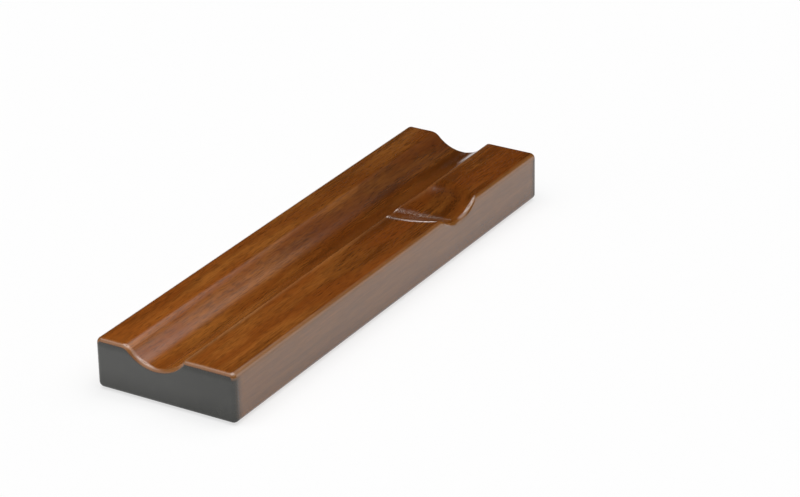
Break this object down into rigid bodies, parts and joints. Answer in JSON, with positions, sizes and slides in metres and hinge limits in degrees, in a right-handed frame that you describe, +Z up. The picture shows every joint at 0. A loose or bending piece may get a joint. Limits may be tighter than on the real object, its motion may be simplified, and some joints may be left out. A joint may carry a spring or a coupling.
{
  "type": "pen holder",
  "caption": "Low lacquered wooden pen holder with a full-length groove along its top, a cross notch over the front rail and rubber pads underneath.",
  "frame": {"origin": "on the table, under the middle of the block", "axes": "+X along the block, towards the end that has the notch nearer to it; -Y towards the front rail, the one with the notch; +Z up"},
  "size_m": [0.184, 0.0502, 0.0173],
  "materials": {
    "lacquered_wood": "red-brown stained hardwood, grain along the length, satin-gloss clear lacquer",
    "pad_rubber": "matt black rubber"
  },
  "bodies": {
    "root": {"wooden_block": "lacquered_wood", "foot_pad_front_left": "pad_rubber", "foot_pad_front_right": "pad_rubber", "foot_pad_back_left": "pad_rubber", "foot_pad_back_right": "pad_rubber"}
  },
  "joints": []
}
